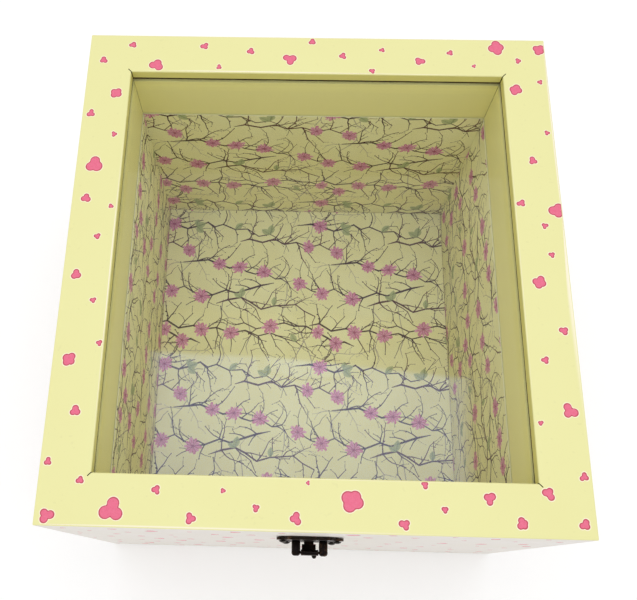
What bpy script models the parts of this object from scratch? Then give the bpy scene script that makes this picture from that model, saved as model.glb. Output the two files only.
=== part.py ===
# A wooden keepsake box with a hinged glass lid, a papered inside and a hook latch.
# Metres, +Z up. X runs across the box, the front faces -Y, and z = 0 is the table under its middle.

import math

import bmesh
import bpy
from mathutils import Matrix, Vector

# Carcass, made as one closed box of mitred boards and then sawn into a body and a lid
box_width = 0.260
box_depth = 0.276
box_height = 0.185
board_thickness = 0.025
lid_height = 0.041

# Glass, held in a groove in the lid's boards
glass_thickness = 0.003
glass_let_in = 0.006
wood_over_glass = 0.0067

# Floor panel, held in a groove in the body's boards
floor_thickness = 0.006
floor_let_in = 0.006
floor_recess = 0.0129

# Printed paper on the inside of the body
paper_thickness = 0.0003

# Butt hinges on the back
hinge_spacing = 0.140
hinge_width = 0.026
hinge_leaf_height = 0.017
hinge_leaf_thickness = 0.0015
hinge_barrel_radius = 0.003
hinge_screw_spread = 0.015
hinge_pin_head_radius = 0.002
hinge_pin_head_length = 0.0008

# Hook latch on the front
latch_plate_thickness = 0.0014
lid_plate_width = 0.0336
body_plate_width = 0.0300
latch_plate_height = 0.0134
latch_plate_block_width = 0.0190
latch_ear_radius = 0.0032
latch_seam_margin = 0.0006
lug_width = 0.0044
lug_spacing = 0.0138
lug_thickness = 0.0036
lug_reach = 0.0074
lug_end_radius = 0.0017
lug_edge_radius = 0.0014
latch_pin_radius = 0.0007
hook_barrel_radius = 0.00145
hook_arm_width = 0.0056
hook_thickness = 0.0016
hook_drop = 0.0125
hook_tip_reach = 0.0045
hook_ball_radius = 0.00125
hook_ball_offset = 0.0028
hook_ball_reach = 0.0014
catch_width = 0.0072
catch_neck_width = 0.0050
catch_neck_length = 0.0012
catch_thickness = 0.0014

# Screws of both kinds of hardware
screw_head_radius = 0.0021
screw_head_height = 0.0011
screw_shank_radius = 0.0010
screw_length = 0.0090

# Space left between pieces that touch or turn in each other
fit_gap = 0.0003

# How finely round shapes are cut
ROUND_SEGMENTS = 20
BEND_STEPS = 14
EDGE_STEPS = 3

# Heights and places that follow from the sizes above
seam_height = box_height - lid_height
body_top = seam_height - fit_gap
floor_top = floor_recess + floor_thickness
glass_top = box_height - wood_over_glass
glass_bottom = glass_top - glass_thickness
inner_width = box_width - 2 * board_thickness
inner_depth = box_depth - 2 * board_thickness
front_face = -box_depth / 2
back_face = box_depth / 2
hinge_axis = Vector((0, back_face + fit_gap + hinge_barrel_radius, seam_height - fit_gap / 2))
plate_front = fit_gap + latch_plate_thickness
latch_axis_height = seam_height + latch_seam_margin + lug_thickness / 2
latch_axis = Vector((0, front_face - lug_reach, latch_axis_height))


def clear_scene():
    for old in list(bpy.data.objects):
        bpy.data.objects.remove(old, do_unlink=True)


def make_material(name, colour, roughness, metallic=0.0, transmission=0.0):
    material = bpy.data.materials.new(name)
    material.use_nodes = True
    shader = material.node_tree.nodes["Principled BSDF"]
    shader.inputs["Base Color"].default_value = (*colour, 1.0)
    shader.inputs["Roughness"].default_value = roughness
    shader.inputs["Metallic"].default_value = metallic
    shader.inputs["Transmission Weight"].default_value = transmission
    material.diffuse_color = (*colour, 1.0)
    return material


def add_object(name, bm, material=None, location=(0, 0, 0), turn=0.0):
    bmesh.ops.recalc_face_normals(bm, faces=bm.faces[:])
    mesh = bpy.data.meshes.new(name)
    bm.to_mesh(mesh)
    bm.free()
    obj = bpy.data.objects.new(name, mesh)
    bpy.context.scene.collection.objects.link(obj)
    obj.location = location
    obj.rotation_euler = (0, 0, turn)
    if material is None:
        obj.hide_render = True
        obj.display_type = "WIRE"
    else:
        mesh.materials.append(material)
    return obj


def shade_round(obj):
    obj.data.shade_smooth()
    obj.data.set_sharp_from_angle(angle=math.radians(35))


def hang_on(obj, parent):
    obj.parent = parent
    obj.matrix_parent_inverse = Matrix.Translation(parent.location).inverted()


def add_axis(name, place, parent=None):
    empty = bpy.data.objects.new(name, None)
    bpy.context.scene.collection.objects.link(empty)
    empty.location = place
    if parent:
        hang_on(empty, parent)
    return empty


def use_boolean(obj, other, operation):
    modifier = obj.modifiers.new(other.name, "BOOLEAN")
    modifier.operation = operation
    modifier.solver = "EXACT"
    modifier.object = other


def extrude_outline(points, direction):
    bm = bmesh.new()
    face = bm.faces.new([bm.verts.new(point) for point in points])
    grown = bmesh.ops.extrude_face_region(bm, geom=[face])
    moved = [item for item in grown["geom"] if isinstance(item, bmesh.types.BMVert)]
    bmesh.ops.translate(bm, verts=moved, vec=direction)
    return bm


def round_edges(bm, edges, radius):
    bmesh.ops.recalc_face_normals(bm, faces=bm.faces[:])
    bmesh.ops.bevel(bm, geom=edges, offset=radius, segments=EDGE_STEPS, profile=0.5, affect="EDGES")


def block(width, depth, bottom, top, across=0.0, along=0.0):
    half_width, half_depth = width / 2, depth / 2
    corners = [(-1, -1), (1, -1), (1, 1), (-1, 1)]
    points = [(across + half_width * x, along + half_depth * y, bottom) for x, y in corners]
    return extrude_outline(points, (0, 0, top - bottom))


def rod(radius, length, axis):
    bm = bmesh.new()
    bmesh.ops.create_cone(
        bm, cap_ends=True, segments=ROUND_SEGMENTS, radius1=radius, radius2=radius, depth=length
    )
    turn = Vector((0, 0, 1)).rotation_difference(Vector(axis)).to_matrix()
    bmesh.ops.rotate(bm, verts=bm.verts[:], cent=(0, 0, 0), matrix=turn)
    return bm


def turned(profile, axis):
    bm = bmesh.new()
    line = [bm.verts.new((radius, 0, height)) for height, radius in profile]
    edges = [bm.edges.new(pair) for pair in zip(line, line[1:])]
    bmesh.ops.spin(
        bm, geom=line + edges, cent=(0, 0, 0), axis=(0, 0, 1), angle=2 * math.pi, steps=ROUND_SEGMENTS
    )
    bmesh.ops.remove_doubles(bm, verts=bm.verts[:], dist=0.000001)
    turn = Vector((0, 0, 1)).rotation_difference(Vector(axis)).to_matrix()
    bmesh.ops.rotate(bm, verts=bm.verts[:], cent=(0, 0, 0), matrix=turn)
    return bm


def arc(centre, radius, start, stop, steps):
    angles = [start + (stop - start) * step / steps for step in range(steps + 1)]
    return [(centre[0] + radius * math.cos(a), centre[1] + radius * math.sin(a)) for a in angles]


# Boards

def grooved_section(bottom, top, groove_bottom, groove_top, groove_depth):
    # Points of (depth behind the outer face, height), with the groove on the inner face
    groove_floor = board_thickness - groove_depth
    return [
        (0, bottom),
        (board_thickness, bottom),
        (board_thickness, groove_bottom),
        (groove_floor, groove_bottom),
        (groove_floor, groove_top),
        (board_thickness, groove_top),
        (board_thickness, top),
        (0, top),
    ]


def mitred_board(name, length, section, material, location, turn):
    # The outer face lies at local y = 0, and both ends are cut at 45 degrees
    end_gap = fit_gap / math.sqrt(2)
    bm = bmesh.new()
    ends = []
    for side in (-1, 1):
        points = [(side * (length / 2 - depth - end_gap), depth, height) for depth, height in section]
        ends.append([bm.verts.new(point) for point in points])
    left, right = ends
    bm.faces.new(left)
    bm.faces.new(right)
    for index in range(len(section)):
        following = (index + 1) % len(section)
        bm.faces.new([left[index], left[following], right[following], right[index]])
    return add_object(name, bm, material, location, turn)


def four_boards(prefix, section, material):
    places = {
        "front": (box_width, (0, front_face, 0), 0.0),
        "right": (box_depth, (box_width / 2, 0, 0), math.pi / 2),
        "back": (box_width, (0, back_face, 0), math.pi),
        "left": (box_depth, (-box_width / 2, 0, 0), -math.pi / 2),
    }
    return {
        side: mitred_board(f"{prefix}_{side}", length, section, material, location, turn)
        for side, (length, location, turn) in places.items()
    }


def body_boards(material):
    section = grooved_section(
        0, body_top, floor_recess - fit_gap, floor_top + fit_gap, floor_let_in + fit_gap
    )
    return four_boards("body", section, material)


def lid_boards(material):
    section = grooved_section(
        seam_height, box_height, glass_bottom - fit_gap, glass_top + fit_gap, glass_let_in + fit_gap
    )
    return four_boards("lid", section, material)


def floor_panel(material):
    width, depth = inner_width + 2 * floor_let_in, inner_depth + 2 * floor_let_in
    return add_object("floor_panel", block(width, depth, floor_recess, floor_top), material)


def glass_pane(material):
    width, depth = inner_width + 2 * glass_let_in, inner_depth + 2 * glass_let_in
    return add_object("glass_pane", block(width, depth, glass_bottom, glass_top), material)


def lining_sheets(material):
    # The front and back sheets run the full width, the side sheets stand between them, and the floor
    # sheet lies inside all four
    bottom = floor_top + fit_gap
    layer = fit_gap + paper_thickness
    middle = fit_gap + paper_thickness / 2
    long_width = inner_width - 2 * fit_gap
    short_depth = inner_depth - 2 * (layer + fit_gap)
    for side, sign in (("front", -1), ("back", 1)):
        along = sign * (inner_depth / 2 - middle)
        sheet = block(long_width, paper_thickness, bottom, body_top, along=along)
        add_object(f"lining_{side}", sheet, material)
    for side, sign in (("left", -1), ("right", 1)):
        across = sign * (inner_width / 2 - middle)
        sheet = block(paper_thickness, short_depth, bottom, body_top, across=across)
        add_object(f"lining_{side}", sheet, material)
    floor_width = inner_width - 2 * (layer + fit_gap)
    sheet = block(floor_width, short_depth, bottom, bottom + paper_thickness)
    add_object("lining_floor", sheet, material)


# Screws and their holes

def add_screw(name, place, outward, material):
    # The head's underside sits at place, and the shank runs into the wood
    dome = [
        (screw_head_height * math.sin(a), screw_head_radius * math.cos(a))
        for a in (math.radians(90 - 90 * step / 4) for step in range(5))
    ]
    profile = dome + [(0, screw_shank_radius), (-screw_length, screw_shank_radius), (-screw_length, 0)]
    screw = add_object(name, turned(profile, (0, outward, 0)), material, place)
    shade_round(screw)
    return screw


def drill_for_screw(name, place, targets):
    hole_depth = screw_length + fit_gap
    cutter = add_object(name, rod(screw_shank_radius + fit_gap, 2 * hole_depth, (0, 1, 0)), None, place)
    for target in targets:
        use_boolean(target, cutter, "DIFFERENCE")


# Hinges

def hinge_leaf(name, up, knuckles, material, place):
    # A plate with tabs, whose ends are bent round the pin. The axis is the local origin, the plate's
    # back lies at y = -hinge_barrel_radius, and up says whether the plate stands or hangs
    half = hinge_width / 2
    shoulder = hinge_barrel_radius + fit_gap
    outline = [(-half, hinge_leaf_height), (-half, shoulder)]
    for start, stop in knuckles:
        outline += [(start, shoulder), (start, 0), (stop, 0), (stop, shoulder)]
    outline += [(half, shoulder), (half, hinge_leaf_height)]
    outline = [point for index, point in enumerate(outline) if point not in outline[:index]]
    back = -hinge_barrel_radius
    points = [(across, back, up * height) for across, height in outline]
    bm = extrude_outline(points, (0, hinge_leaf_thickness, 0))
    bmesh.ops.recalc_face_normals(bm, faces=bm.faces[:])
    tab_ends = [face for face in bm.faces if abs(face.calc_center_median().z) < fit_gap / 10]
    free_end = math.acos((hinge_leaf_thickness + 2 * fit_gap - hinge_barrel_radius) / hinge_barrel_radius)
    bend = up * (math.pi + free_end)
    for face in tab_ends:
        geometry = [face, *face.edges, *face.verts]
        bmesh.ops.spin(
            bm, geom=geometry, cent=(0, 0, 0), axis=(1, 0, 0), angle=bend, steps=BEND_STEPS
        )
    leaf = add_object(name, bm, material, place)
    shade_round(leaf)
    return leaf


def hinge_pin(name, material, place):
    half = hinge_width / 2 + fit_gap
    radius = hinge_barrel_radius - hinge_leaf_thickness - fit_gap
    end = half + hinge_pin_head_length
    half_profile = [(end, 0), (end, hinge_pin_head_radius), (half, hinge_pin_head_radius), (half, radius)]
    profile = half_profile + [(-along, size) for along, size in reversed(half_profile)]
    pin = add_object(name, turned(profile, (1, 0, 0)), material, place)
    shade_round(pin)
    return pin


def add_hinges(boards, lid, lid_axis, metal, screw_metal):
    knuckle = (hinge_width - 2 * fit_gap) / 3
    half = hinge_width / 2
    outer = [(-half, -half + knuckle), (half - knuckle, half)]
    middle = [(-knuckle / 2, knuckle / 2)]
    screw_height = (hinge_barrel_radius + hinge_leaf_height) / 2
    leaf_front = back_face + fit_gap + hinge_leaf_thickness
    for side, sign in (("left", -1), ("right", 1)):
        place = hinge_axis + Vector((sign * hinge_spacing / 2, 0, 0))
        body_leaf = hinge_leaf(f"hinge_body_leaf_{side}", -1, outer, metal, place)
        lid_leaf = hinge_leaf(f"hinge_lid_leaf_{side}", 1, middle, metal, place)
        hang_on(lid_leaf, lid_axis)
        hinge_pin(f"hinge_pin_{side}", metal, place)
        for leaf, board, up, word in ((body_leaf, boards["back"], -1, "body"), (lid_leaf, lid["back"], 1, "lid")):
            for number, across in enumerate((-hinge_screw_spread / 2, hinge_screw_spread / 2), 1):
                name = f"hinge_screw_{word}_{side}_{number}"
                spot = Vector((place.x + across, leaf_front + fit_gap, place.z + up * screw_height))
                drill_for_screw(f"hole_for_{name}", spot, (leaf, board))
                screw = add_screw(name, spot, 1, screw_metal)
                if word == "lid":
                    hang_on(screw, lid_axis)


# Latch

def eared_outline(width, height):
    # A block with an ear on each side that narrows to a round end, as points of (across, height)
    block_half = latch_plate_block_width / 2
    ear_centre = width / 2 - latch_ear_radius
    points = []
    for step in range(EDGE_STEPS * 2 + 1):
        share = step / (EDGE_STEPS * 2)
        across = block_half + (ear_centre - block_half) * share
        ease = (1 + math.cos(math.pi * share)) / 2
        points.append((across, latch_ear_radius + (height / 2 - latch_ear_radius) * ease))
    points += arc((ear_centre, 0), latch_ear_radius, math.pi / 2, 0, EDGE_STEPS * 2)[1:]
    upper = points
    lower = [(across, -up) for across, up in reversed(points[:-1])]
    right = upper + lower
    left = [(-across, up) for across, up in reversed(right)]
    return right + left


def eared_plate(name, width, middle, material):
    # The plate's back stands fit_gap in front of the wood
    points = [(across, -fit_gap, up) for across, up in eared_outline(width, latch_plate_height)]
    bm = extrude_outline(points, (0, -latch_plate_thickness, 0))
    return add_object(name, bm, material, (0, front_face, middle))


def add_lugs(plate):
    # Two rounded fingers that stand out from the lid plate and carry the pin
    root = fit_gap + latch_plate_thickness / 2
    length = lug_reach + lug_end_radius - root
    for side, sign in (("left", -1), ("right", 1)):
        bm = block(lug_width, length, -lug_thickness / 2, lug_thickness / 2)
        round_edges(bm, bm.edges[:], lug_edge_radius)
        place = (sign * lug_spacing / 2, front_face - root - length / 2, latch_axis_height)
        use_boolean(plate, add_object(f"lug_{side}", bm, None, place), "UNION")


def pin_hole(name, length, targets):
    cutter = add_object(name, rod(latch_pin_radius + fit_gap, length, (1, 0, 0)), None, latch_axis)
    for target in targets:
        use_boolean(target, cutter, "DIFFERENCE")


def add_hook(lug_inner_width, metal):
    # A barrel on the pin, an arm that hangs from it, and a tip that turns in under the catch
    barrel_width = lug_inner_width - 2 * fit_gap
    hook = add_object("latch_hook", rod(hook_barrel_radius, barrel_width, (1, 0, 0)), metal, latch_axis)
    half = hook_thickness / 2
    outline = [
        (half, 0),
        (-half, 0),
        (-half, -hook_drop),
        (hook_tip_reach, -hook_drop),
        (hook_tip_reach, -hook_drop + hook_thickness),
        (half, -hook_drop + hook_thickness),
    ]
    points = [(-hook_arm_width / 2, inward, up) for inward, up in outline]
    bm = extrude_outline(points, (hook_arm_width, 0, 0))
    bottom = [edge for edge in bm.edges if all(vert.co.z < -hook_drop + half for vert in edge.verts)]
    round_edges(bm, bottom, half * 0.9)
    use_boolean(hook, add_object("hook_arm", bm, None, latch_axis), "UNION")
    ball = bmesh.new()
    bmesh.ops.create_uvsphere(ball, u_segments=12, v_segments=8, radius=hook_ball_radius)
    spot = latch_axis + Vector((hook_ball_offset, -hook_ball_reach, -hook_drop + hook_thickness))
    use_boolean(hook, add_object("hook_ball", ball, None, spot), "UNION")
    return hook


def add_catch(plate):
    # A ledge on the body plate, with a narrower neck, that stops over the hook's tip
    root = fit_gap + latch_plate_thickness / 2
    end = lug_reach - hook_thickness / 2 - fit_gap
    neck_end = plate_front + catch_neck_length
    top = latch_axis_height - hook_drop + hook_thickness + fit_gap + catch_thickness
    half, neck = catch_width / 2, catch_neck_width / 2
    outline = [
        (-neck, root), (-neck, neck_end), (-half, neck_end), (-half, end),
        (half, end), (half, neck_end), (neck, neck_end), (neck, root),
    ]
    points = [(across, front_face - out, top) for across, out in outline]
    bm = extrude_outline(points, (0, 0, -catch_thickness))
    use_boolean(plate, add_object("catch_ledge", bm, None), "UNION")


def add_latch(boards, lid, lid_axis, metal, screw_metal):
    lid_middle = seam_height + latch_seam_margin + latch_plate_height / 2
    body_middle = body_top - latch_seam_margin - latch_plate_height / 2
    lid_plate = eared_plate("latch_lid_plate", lid_plate_width, lid_middle, metal)
    body_plate = eared_plate("latch_body_plate", body_plate_width, body_middle, metal)
    add_lugs(lid_plate)
    add_catch(body_plate)
    lug_inner_width = lug_spacing - lug_width
    lug_outer_width = lug_spacing + lug_width
    hook = add_hook(lug_inner_width, metal)
    pin_hole("latch_pin_hole", lug_outer_width + 4 * fit_gap, (lid_plate, hook))
    pin = add_object("latch_pin", rod(latch_pin_radius, lug_outer_width, (1, 0, 0)), metal, latch_axis)
    shade_round(pin)
    latch_turn = add_axis("latch_turn", latch_axis, lid_axis)
    hang_on(hook, latch_turn)
    hang_on(pin, lid_axis)
    hang_on(lid_plate, lid_axis)
    plates = (
        (lid_plate, lid["front"], lid_middle, lid_plate_width, "lid"),
        (body_plate, boards["front"], body_middle, body_plate_width, "body"),
    )
    for plate, board, middle, width, word in plates:
        ear = width / 2 - latch_ear_radius
        for number, across in enumerate((-ear, ear), 1):
            name = f"latch_screw_{word}_{number}"
            spot = Vector((across, front_face - plate_front - fit_gap, middle))
            drill_for_screw(f"hole_for_{name}", spot, (plate, board))
            screw = add_screw(name, spot, -1, screw_metal)
            if word == "lid":
                hang_on(screw, lid_axis)


def build_box():
    clear_scene()
    painted_wood = make_material("painted_wood", (0.80, 0.76, 0.38), 0.45)
    bare_board = make_material("floor_board", (0.62, 0.50, 0.33), 0.7)
    paper = make_material("printed_paper", (0.62, 0.60, 0.33), 0.65)
    clear_glass = make_material("clear_glass", (0.93, 0.98, 0.95), 0.02, transmission=1.0)
    bronze = make_material("antique_bronze", (0.10, 0.07, 0.05), 0.4, metallic=1.0)
    brass = make_material("hinge_brass", (0.45, 0.33, 0.16), 0.35, metallic=1.0)
    dark_steel = make_material("screw_steel", (0.20, 0.17, 0.14), 0.4, metallic=1.0)
    boards = body_boards(painted_wood)
    floor_panel(bare_board)
    lining_sheets(paper)
    lid_axis = add_axis("lid_axis", hinge_axis)
    lid = lid_boards(painted_wood)
    for piece in [*lid.values(), glass_pane(clear_glass)]:
        hang_on(piece, lid_axis)
    add_hinges(boards, lid, lid_axis, brass, dark_steel)
    add_latch(boards, lid, lid_axis, bronze, dark_steel)


build_box()
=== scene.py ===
import math
import random

import bmesh
import bpy
import numpy as np
from mathutils import Euler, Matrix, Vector, geometry


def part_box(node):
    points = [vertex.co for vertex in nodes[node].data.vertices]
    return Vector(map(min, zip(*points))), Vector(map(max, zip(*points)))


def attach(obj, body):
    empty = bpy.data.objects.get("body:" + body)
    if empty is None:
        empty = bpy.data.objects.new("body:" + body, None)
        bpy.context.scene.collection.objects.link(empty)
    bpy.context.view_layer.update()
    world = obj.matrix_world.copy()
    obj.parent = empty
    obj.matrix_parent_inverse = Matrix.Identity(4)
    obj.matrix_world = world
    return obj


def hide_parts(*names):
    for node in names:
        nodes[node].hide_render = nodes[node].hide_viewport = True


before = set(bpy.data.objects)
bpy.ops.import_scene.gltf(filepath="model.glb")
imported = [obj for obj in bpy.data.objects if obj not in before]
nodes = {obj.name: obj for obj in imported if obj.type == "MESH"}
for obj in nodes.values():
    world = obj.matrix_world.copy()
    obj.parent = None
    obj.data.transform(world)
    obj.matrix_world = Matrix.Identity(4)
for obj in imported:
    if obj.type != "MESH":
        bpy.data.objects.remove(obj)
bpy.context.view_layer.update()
print("frame loaded:", len(nodes), "CAD nodes")


def deselectAll():
    if bpy.context.mode != "OBJECT":
        bpy.ops.object.mode_set(mode="OBJECT")
    bpy.ops.object.select_all(action="DESELECT")


def pickOnly(piece):
    deselectAll()
    piece.select_set(True)
    bpy.context.view_layer.objects.active = piece


def addBlock(name, low, high):
    deselectAll()
    middle = [(a + b) / 2 for a, b in zip(low, high)]
    size = [b - a for a, b in zip(low, high)]
    bpy.ops.mesh.primitive_cube_add(size=1, location=middle, scale=size)
    piece = bpy.context.object
    piece.name = name
    bpy.ops.object.transform_apply(location=True, rotation=True, scale=True)
    return piece


def cutWith(piece, cutter):
    cut = piece.modifiers.new("cut", "BOOLEAN")
    cut.operation = "DIFFERENCE"
    cut.solver = "EXACT"
    cut.object = cutter
    pickOnly(piece)
    bpy.ops.object.modifier_apply(modifier="cut")
    bpy.data.objects.remove(cutter)


def roundEdges(piece, width, segments=2, sharperThan=32):
    bevel = piece.modifiers.new("roundEdges", "BEVEL")
    bevel.limit_method = "ANGLE"
    bevel.angle_limit = math.radians(sharperThan)
    bevel.width = width
    bevel.segments = segments
    pickOnly(piece)
    bpy.ops.object.modifier_apply(modifier="roundEdges")


def bevelWhere(piece, width, segments, wanted):
    # rounds only the edges whose two ends pass the test
    pickOnly(piece)
    bpy.ops.object.mode_set(mode="EDIT")
    bpy.ops.mesh.select_mode(type="EDGE")
    bpy.ops.mesh.select_all(action="DESELECT")
    bpy.ops.object.mode_set(mode="OBJECT")
    for edge in piece.data.edges:
        start, end = (piece.data.vertices[index].co for index in edge.vertices)
        edge.select = wanted(start, end)
    bpy.ops.object.mode_set(mode="EDIT")
    bpy.ops.mesh.bevel(offset=width, segments=segments)
    bpy.ops.mesh.select_mode(type="VERT")
    bpy.ops.object.mode_set(mode="OBJECT")


def editWhole(piece, *steps):
    # runs operators on the whole mesh in edit mode
    pickOnly(piece)
    bpy.ops.object.mode_set(mode="EDIT")
    bpy.ops.mesh.select_all(action="SELECT")
    for operator, values in steps:
        operator(**values)
    bpy.ops.object.mode_set(mode="OBJECT")


def pieceFrom(mesh, name):
    data = bpy.data.meshes.new(name)
    mesh.to_mesh(data)
    mesh.free()
    piece = bpy.data.objects.new(name, data)
    bpy.context.scene.collection.objects.link(piece)
    return piece


def smoothByAngle(piece, angle=40):
    pickOnly(piece)
    bpy.ops.object.shade_smooth_by_angle(angle=math.radians(angle))


def evenNormals(piece):
    # keeps large flat faces flat beside small rounded edges
    weigh = piece.modifiers.new("evenNormals", "WEIGHTED_NORMAL")
    weigh.weight = 100
    weigh.keep_sharp = True
    pickOnly(piece)
    bpy.ops.object.modifier_apply(modifier="evenNormals")


def nodeBox(*names):
    # the box round several CAD nodes
    lows = [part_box(name)[0] for name in names]
    highs = [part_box(name)[1] for name in names]
    return Vector(map(min, *lows)), Vector(map(max, *highs))


cameraSettings = {
    "place": (-0.01716, -0.15835, 0.53695),
    "turn": (0.32173, 0.01421, 0.02711),  # radians
    "lens": 41.90,  # millimetres
    "sensor": 36,
    "shift": (0.0858, 0.0496),
    "picture": (637, 600),
}

lightSettings = {
    "sky": 0.86,
    "skyInGloss": 0.12,  # a dim room in the reflections
    "keyPower": 5.0,
    "keySize": 1.5,
    "keyPlace": (0.0, 0.06, 1.50),
    "floorColour": (0.98, 0.98, 0.98),
    "cardHeight": 1.30,
    "cardColour": (0.52, 0.64, 1.0),
    "floorGlow": 0.07,
    "cardStrength": 2.2,
    "backCardStrength": 0.55,
    "lampStrength": 2.4,
    "cardSoftness": 0.05,
    "lampSoftness": 0.25,
}

# where the pale reflection of the studio card shows in the glass, in pixels of the picture
cardMarks = [(152, 352), (262, 357), (350, 365), (466, 379), (470, 500), (150, 500)]
backCardMarks = [(156, 207), (456, 207), (462, 322), (152, 306)]
lampMarks = [(266, 357), (356, 367), (352, 377), (300, 379), (268, 371)]


def addCamera():
    data = bpy.data.cameras.new("photoCamera")
    data.sensor_width = cameraSettings["sensor"]
    data.lens = cameraSettings["lens"]
    data.shift_x, data.shift_y = cameraSettings["shift"]
    data.clip_start = 0.01
    camera = bpy.data.objects.new("photoCamera", data)
    camera.location = cameraSettings["place"]
    camera.rotation_euler = Euler(cameraSettings["turn"], "XYZ")
    bpy.context.scene.collection.objects.link(camera)
    bpy.context.scene.camera = camera


def focalPixels():
    return cameraSettings["lens"] / cameraSettings["sensor"] * cameraSettings["picture"][0]


def pixelRay(across, down):
    # the line from the camera through a pixel of the picture
    focal = focalPixels()
    wide, high = cameraSettings["picture"]
    shiftX, shiftY = cameraSettings["shift"]
    x = (across - wide / 2) / focal + shiftX * wide / focal
    y = (high / 2 - down) / focal + shiftY * wide / focal
    direction = Vector((x, y, -1))
    direction.rotate(Euler(cameraSettings["turn"], "XYZ"))
    return Vector(cameraSettings["place"]), direction


def addLights():
    world = bpy.data.worlds.new("studioSky")
    world.use_nodes = True
    tree = world.node_tree
    sky = tree.nodes["Background"]
    sky.inputs["Color"].default_value = (1, 1, 1, 1)
    path = addNode(tree, "ShaderNodeLightPath")
    dimmer = lightSettings["skyInGloss"] - lightSettings["sky"]
    bounces = mathNode(tree, "SUBTRACT", path.outputs["Ray Depth"], path.outputs["Transmission Depth"])
    turnedBack = mathNode(tree, "GREATER_THAN", bounces, 1.5)
    mirrored = mathNode(tree, "MULTIPLY", turnedBack, path.outputs["Is Glossy Ray"])
    strength = mathNode(tree, "MULTIPLY_ADD", mirrored, dimmer, lightSettings["sky"])
    notTurned = mathNode(tree, "SUBTRACT", 1.0, turnedBack)
    straight = mathNode(tree, "MULTIPLY", path.outputs["Is Transmission Ray"], notTurned)
    seen = mathNode(tree, "MAXIMUM", path.outputs["Is Camera Ray"], straight)
    whiter = mathNode(tree, "MULTIPLY_ADD", seen, 1.0 - lightSettings["sky"], strength)
    tree.links.new(whiter, sky.inputs["Strength"])
    bpy.context.scene.world = world
    data = bpy.data.lights.new("softbox", "AREA")
    data.shape = "SQUARE"
    data.size = lightSettings["keySize"]
    data.energy = lightSettings["keyPower"]
    lamp = bpy.data.objects.new("softbox", data)
    lamp.location = lightSettings["keyPlace"]
    lamp.visible_glossy = False
    aim = Vector((0, 0, 0.1)) - lamp.location
    lamp.rotation_euler = aim.to_track_quat("-Z", "Y").to_euler()
    bpy.context.scene.collection.objects.link(lamp)


def mirroredInGlass(across, down, glassTop, height):
    # the point above the box that the glass shows at this pixel
    start, direction = pixelRay(across, down)
    spot = start + direction * ((glassTop - start.z) / direction.z)
    back = Vector((direction.x, direction.y, -direction.z))
    return spot + back * ((height - glassTop) / back.z)


def addCard(name, marks, strength, soften):
    # a studio card over the box, seen only as a soft-edged reflection in the glass
    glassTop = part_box("glass_pane")[1].z
    rim = [mirroredInGlass(across, down, glassTop, lightSettings["cardHeight"]) for across, down in marks]
    middle = sum(rim, Vector()) / len(rim)
    mesh = bmesh.new()
    layer = mesh.verts.layers.float.new("fade")
    inner = [mesh.verts.new(middle + (point - middle) * (1 - soften)) for point in rim]
    outer = [mesh.verts.new(middle + (point - middle) * (1 + soften)) for point in rim]
    for vert in inner:
        vert[layer] = 1.0
    mesh.faces.new(inner)
    for index in range(len(rim)):
        after = (index + 1) % len(rim)
        mesh.faces.new((inner[index], outer[index], outer[after], inner[after]))
    card = pieceFrom(mesh, name)
    material = bpy.data.materials.new(name + "Glow")
    material.use_nodes = True
    tree = material.node_tree
    tree.nodes.remove(tree.nodes["Principled BSDF"])
    glow = addNode(tree, "ShaderNodeEmission")
    feedAll(tree, glow, {"Color": lightSettings["cardColour"], "Strength": strength})
    clear = addNode(tree, "ShaderNodeBsdfTransparent")
    blend = addNode(tree, "ShaderNodeMixShader")
    fade = attributeNode(tree, "fade").outputs["Fac"]
    for index, output in enumerate((fade, clear.outputs[0], glow.outputs[0])):
        tree.links.new(output, blend.inputs[index])
    tree.links.new(blend.outputs[0], tree.nodes["Material Output"].inputs["Surface"])
    card.data.materials.append(material)
    card.visible_camera = False
    card.visible_diffuse = False
    card.visible_shadow = False


def addFloor():
    deselectAll()
    bpy.ops.mesh.primitive_plane_add(size=6, location=(0, 0, -0.0005))
    floor = bpy.context.object
    floor.name = "studioFloor"
    bpy.ops.object.transform_apply(location=True, rotation=True, scale=True)
    material, tree, shader = newMaterial("studioFloorPaint")
    feedAll(tree, shader, {
        "Base Color": lightSettings["floorColour"], "Roughness": 0.9, "Specular IOR Level": 0.1,
        "Emission Color": (1, 1, 1), "Emission Strength": lightSettings["floorGlow"],
    })
    floor.data.materials.append(material)


def newMaterial(name):
    material = bpy.data.materials.new(name)
    material.use_nodes = True
    tree = material.node_tree
    return material, tree, tree.nodes["Principled BSDF"]


def addNode(tree, kind, **settings):
    node = tree.nodes.new(kind)
    for key, value in settings.items():
        setattr(node, key, value)
    return node


def feed(tree, socket, value):
    # links another socket, or sets a plain number or colour
    if isinstance(value, bpy.types.NodeSocket):
        tree.links.new(value, socket)
    elif socket.type == "RGBA":
        socket.default_value = (*value[:3], 1)
    else:
        socket.default_value = value


def feedAll(tree, node, values):
    for label, value in values.items():
        feed(tree, node.inputs[label], value)


def mathNode(tree, operation, *values):
    node = addNode(tree, "ShaderNodeMath", operation=operation)
    for socket, value in zip(node.inputs, values):
        feed(tree, socket, value)
    return node.outputs[0]


def mixColour(tree, factor, first, second):
    node = addNode(tree, "ShaderNodeMix", data_type="RGBA")
    for index, value in ((0, factor), (6, first), (7, second)):
        feed(tree, node.inputs[index], value)
    return node.outputs[2]


def stepBetween(tree, value, low, high, start=0.0, end=1.0):
    node = addNode(tree, "ShaderNodeMapRange", interpolation_type="SMOOTHSTEP", clamp=True)
    feedAll(tree, node, {"Value": value, "From Min": low, "From Max": high, "To Min": start, "To Max": end})
    return node.outputs["Result"]


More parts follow.
